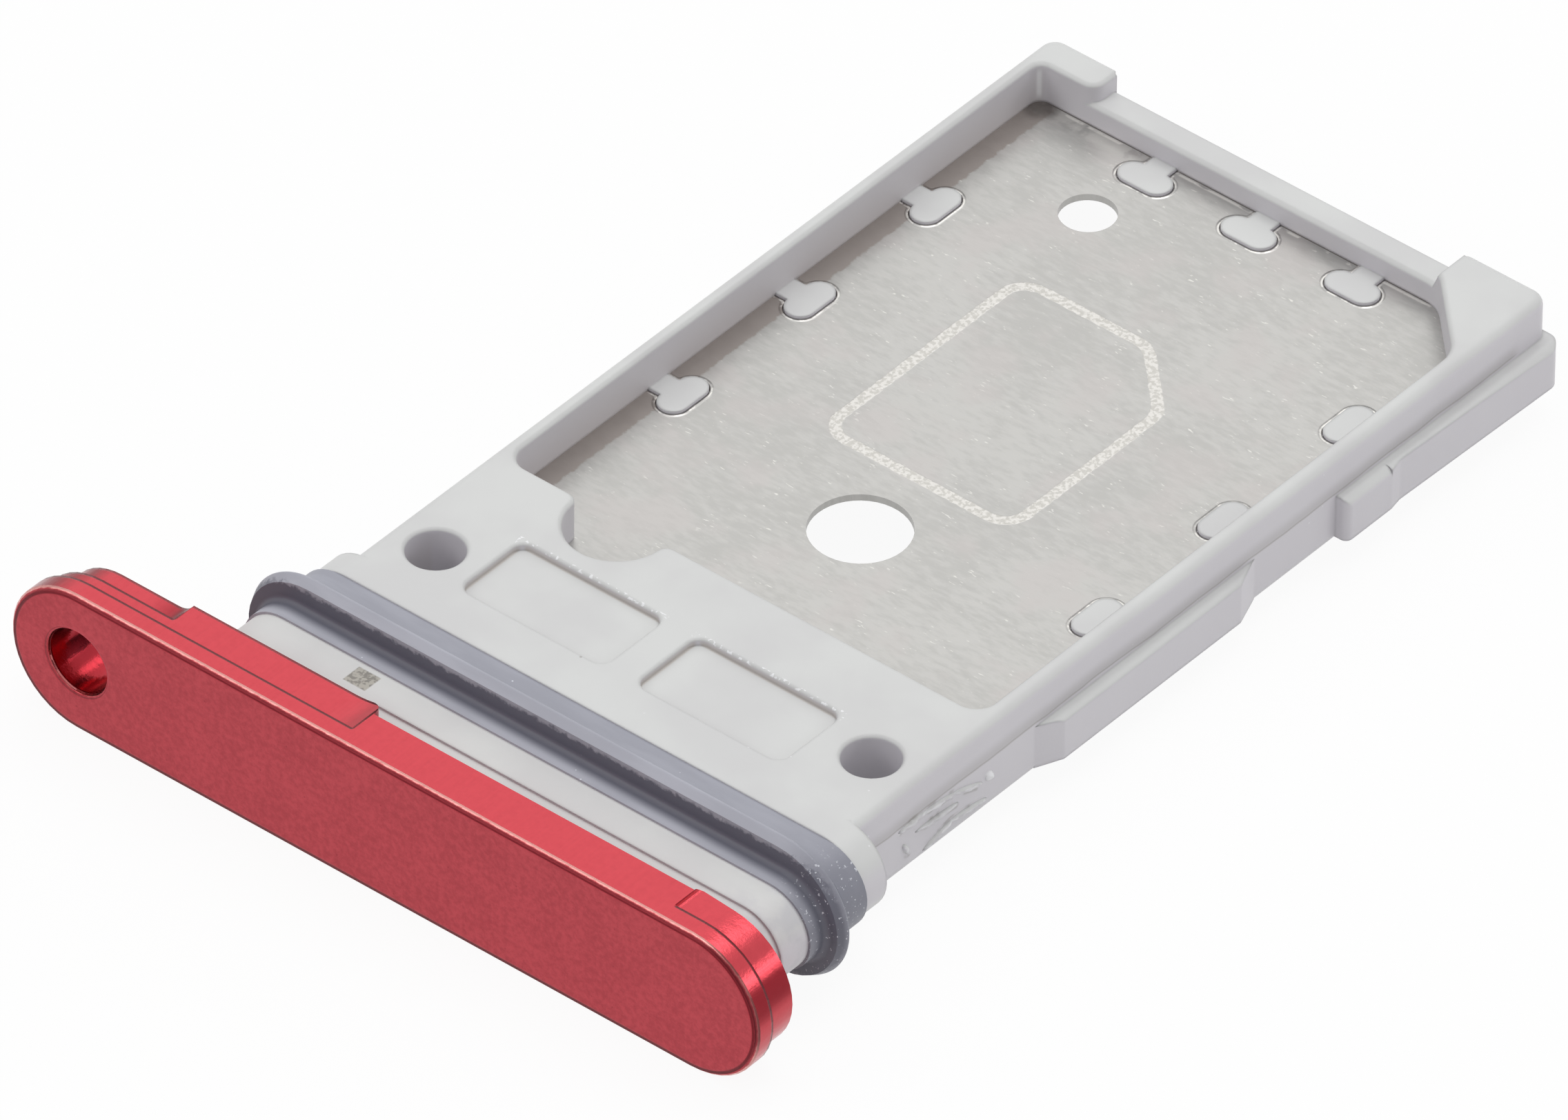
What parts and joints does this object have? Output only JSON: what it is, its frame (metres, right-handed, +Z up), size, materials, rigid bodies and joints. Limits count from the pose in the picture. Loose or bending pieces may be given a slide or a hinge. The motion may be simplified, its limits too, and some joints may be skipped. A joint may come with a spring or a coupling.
{
  "type": "sim card tray",
  "caption": "Two-sided slide-in tray for nano cards: anodised end cap with a pin hole, moulded frame, rubber seal ring and stamped steel floor.",
  "frame": {"origin": "centre of the bounding box in X and Y, at the lowest point of the cap, on the surface it rests on", "axes": "+X along the end cap, +Y from the cap to the far end of the tray, the way it slides in, +Z up through the card pocket"},
  "size_m": [0.0144, 0.02, 0.0026],
  "materials": {
    "anodised_cap": "fine bead-blasted red anodising with polished edges",
    "moulded_frame": "light grey, satin as moulded",
    "stamped_floor": "fine rolled grain, matte",
    "seal_rubber": "smooth matte silicone"
  },
  "bodies": {
    "root": {"end_cap": "anodised_cap", "tray_frame": "moulded_frame", "floor_plate": "stamped_floor", "seal": "seal_rubber"}
  },
  "joints": []
}
